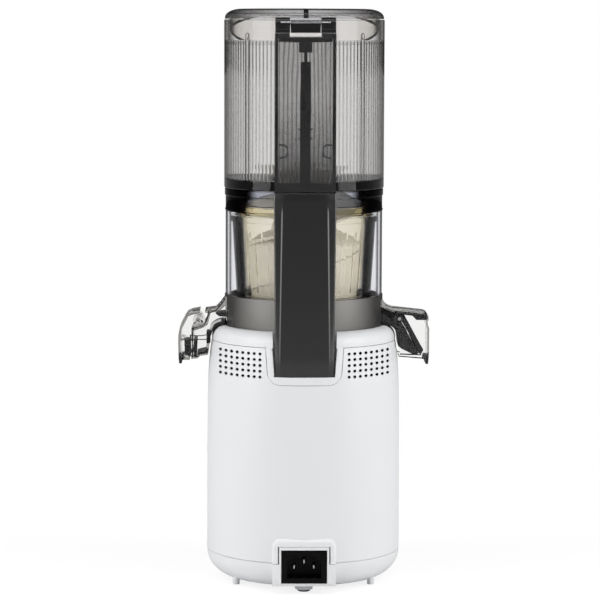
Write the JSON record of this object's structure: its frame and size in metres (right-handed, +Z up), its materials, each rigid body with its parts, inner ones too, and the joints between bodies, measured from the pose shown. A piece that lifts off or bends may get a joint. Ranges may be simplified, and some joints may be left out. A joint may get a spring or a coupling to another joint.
{
  "type": "cold press juicer",
  "caption": "Slow vertical juicer: white motor base, smoked bowl with auger and strainers, tall lidded hopper, capped juice spout, pulp outlet and geared motor.",
  "frame": {"origin": "on the table under the vertical drive axis, in the plane of the rubber feet", "axes": "+Z up along the drive axis; +Y to the rear, where the handle, lid hinge and mains inlet are; +X to the juice spout; -X to the pulp outlet; -Y to the front with the selector knob"},
  "size_m": [0.1792, 0.156, 0.408],
  "materials": {
    "white_casing": "satin white",
    "grey_plastic": "frosted grey",
    "handle_plastic": "semi-gloss",
    "dark_plastic": "semi-gloss",
    "black_plastic": "satin",
    "smoked_bowl": "clear smoked",
    "smoked_hopper": "clear smoked, fluted",
    "smoked_duct": "clear smoked",
    "smoked_lid": "clear smoked",
    "clear_spout": "clear smoked",
    "amber_plastic": "translucent amber",
    "strainer_frame": "smoked",
    "auger_plastic": "satin",
    "knob_plastic": "satin",
    "nylon": "natural",
    "gearbox_plastic": "moulded",
    "board": "laminate",
    "capacitor_can": "drawn can",
    "winding": "enamelled copper wire",
    "gear_metal": "sintered",
    "bronze": "sintered",
    "lamination": "laminated sheet",
    "die_cast": "die cast",
    "bearing_steel": "ground",
    "shaft_steel": "ground",
    "screw_steel": "zinc plated",
    "contact_metal": "nickel plated",
    "grey_rubber": "moulded",
    "black_rubber": "moulded"
  },
  "bodies": {
    "base": {"body_shell": "white_casing", "shoulder_cover": "white_casing", "bottom_cover": "white_casing", "rubber_feet": "grey_rubber", "bottom_screws": "screw_steel", "mains_inlet": "black_plastic", "inlet_pins": "contact_metal", "circuit_board": "board", "capacitor": "capacitor_can", "knob_bezel": "white_casing", "rotary_switch": "black_plastic", "microswitch": "black_plastic", "motor_bracket_low": "die_cast", "motor_bracket_top": "die_cast", "motor_bolts": "screw_steel", "motor_bearings": "bearing_steel", "stator": "lamination", "windings": "winding", "gearbox_housing": "gearbox_plastic", "gearbox_cover": "gearbox_plastic", "gearbox_screws": "screw_steel", "layshaft": "shaft_steel", "output_bush": "bronze", "deck_seal": "black_rubber"},
    "knob": {"selector_knob": "knob_plastic"},
    "switch_plunger": {"switch_pin": "nylon"},
    "motor_rotor": {"rotor": "lamination", "motor_shaft": "shaft_steel", "cooling_fan": "nylon"},
    "lay_gear": {"compound_gear": "nylon"},
    "drive": {"output_gear": "gear_metal", "drive_shaft": "shaft_steel"},
    "bowl_set": {"bowl_base": "grey_plastic", "bowl": "smoked_bowl", "bowl_handle": "handle_plastic", "bowl_seal": "black_rubber", "outer_strainer": "strainer_frame", "inner_strainer": "amber_plastic", "juice_spout": "clear_spout", "spout_packing": "black_rubber", "cap_pin": "dark_plastic", "pulp_cover": "clear_spout", "pulp_chute": "dark_plastic", "flap_pin": "shaft_steel"},
    "spout_cap": {"juice_cap": "clear_spout", "cap_seal": "black_rubber"},
    "flap": {"pulp_flap": "black_rubber"},
    "auger": {"auger_core": "auger_plastic", "auger_flights": "auger_plastic"},
    "lower_rod": {"handle_rod": "dark_plastic"},
    "hopper_set": {"hopper_base": "smoked_duct", "hopper": "smoked_hopper", "hopper_duct": "smoked_duct", "hinge_bracket": "dark_plastic", "hinge_pin": "shaft_steel"},
    "upper_rod": {"push_rod": "dark_plastic"},
    "lid_set": {"lid": "smoked_lid", "lid_liner": "smoked_hopper"}
  },
  "joints": [
    {"name": "selector_turn", "type": "hinge", "parent": "base", "child": "knob", "pos_m": [0, -0.07, 0.07], "axis": [0, -1, 0], "range_deg": [-45, 45]},
    {"name": "switch_press", "type": "slide", "parent": "base", "child": "switch_plunger", "axis": [0, 0, 1], "range_m": [0, 0.002]},
    {"name": "rotor_spin", "type": "hinge", "parent": "base", "child": "motor_rotor", "pos_m": [0, 0, 0.08], "axis": [0, 0, 1], "continuous": true},
    {"name": "lay_spin", "type": "hinge", "parent": "base", "child": "lay_gear", "pos_m": [0.032, 0, 0.12], "axis": [0, 0, 1], "continuous": true},
    {"name": "drive_spin", "type": "hinge", "parent": "base", "child": "drive", "pos_m": [0, 0, 0.13], "axis": [0, 0, 1], "continuous": true},
    {"name": "bowl_lift", "type": "slide", "parent": "base", "child": "bowl_set", "axis": [0, 0, 1], "range_m": [0, 0.06]},
    {"name": "cap_hinge", "type": "hinge", "parent": "bowl_set", "child": "spout_cap", "pos_m": [0.0755, 0, 0.1878], "axis": [0, -1, 0], "range_deg": [0, 60]},
    {"name": "flap_hinge", "type": "hinge", "parent": "bowl_set", "child": "flap", "pos_m": [-0.0683, 0, 0.1882], "axis": [0, 1, 0], "range_deg": [0, 5], "stiffness_Nm_per_rad": 0.02, "springref_deg": -20.05},
    {"name": "auger_spin", "type": "hinge", "parent": "bowl_set", "child": "auger", "pos_m": [0, 0, 0.24], "axis": [0, 0, 1], "continuous": true},
    {"name": "lower_rod_slide", "type": "slide", "parent": "bowl_set", "child": "lower_rod", "axis": [0, 0, 1], "range_m": [0, 0.002]},
    {"name": "hopper_lift", "type": "slide", "parent": "bowl_set", "child": "hopper_set", "axis": [0, 0, 1], "range_m": [0, 0.05]},
    {"name": "upper_rod_slide", "type": "slide", "parent": "hopper_set", "child": "upper_rod", "axis": [0, 0, 1], "range_m": [0, 0.002]},
    {"name": "lid_hinge", "type": "hinge", "parent": "hopper_set", "child": "lid_set", "pos_m": [0, 0.062, 0.3982], "axis": [-1, 0, 0], "range_deg": [0, 105]}
  ],
  "couplings": [
    {"joint": "lay_spin", "follows": "drive_spin", "ratio": -4.3333},
    {"joint": "rotor_spin", "follows": "drive_spin", "ratio": 24.556},
    {"joint": "auger_spin", "follows": "drive_spin", "ratio": 1},
    {"joint": "switch_press", "follows": "lid_hinge", "m_per_rad": 0.00109},
    {"joint": "lower_rod_slide", "follows": "lid_hinge", "m_per_rad": 0.00109},
    {"joint": "upper_rod_slide", "follows": "lid_hinge", "m_per_rad": 0.00109}
  ]
}
